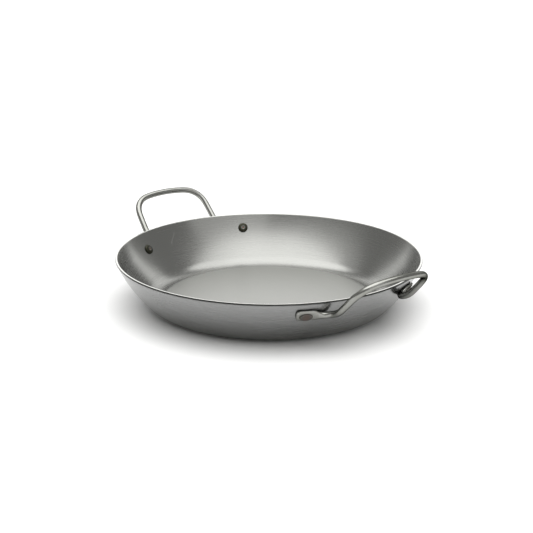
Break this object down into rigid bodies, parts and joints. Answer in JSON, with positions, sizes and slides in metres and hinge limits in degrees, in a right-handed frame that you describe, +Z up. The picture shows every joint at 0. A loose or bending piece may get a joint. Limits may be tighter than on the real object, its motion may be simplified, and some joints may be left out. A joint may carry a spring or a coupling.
{
  "type": "two-handled steel pan",
  "caption": "Shallow round sheet-steel cooking pan with dished flaring walls, a flat base and opposed loop handles of bent round bar riveted outside the wall.",
  "frame": {"origin": "centre of the flat base, on the surface that the pan stands on", "axes": "+Z up along the bowl's axis; +X from the bowl's centre towards the right handle, so both handles lie along X; +Y to the rear"},
  "size_m": [0.4038, 0.32, 0.0809],
  "materials": {
    "pan_steel": "fine spun satin, raw uncoated steel",
    "handle_steel": "polished bar with faint drawing marks",
    "rivet_steel": "darkened, heat-browned rivet heads"
  },
  "bodies": {
    "root": {"pan_body": "pan_steel", "right_handle": "handle_steel", "left_handle": "handle_steel", "right_handle_front_rivet": "rivet_steel", "right_handle_rear_rivet": "rivet_steel", "left_handle_front_rivet": "rivet_steel", "left_handle_rear_rivet": "rivet_steel"}
  },
  "joints": []
}
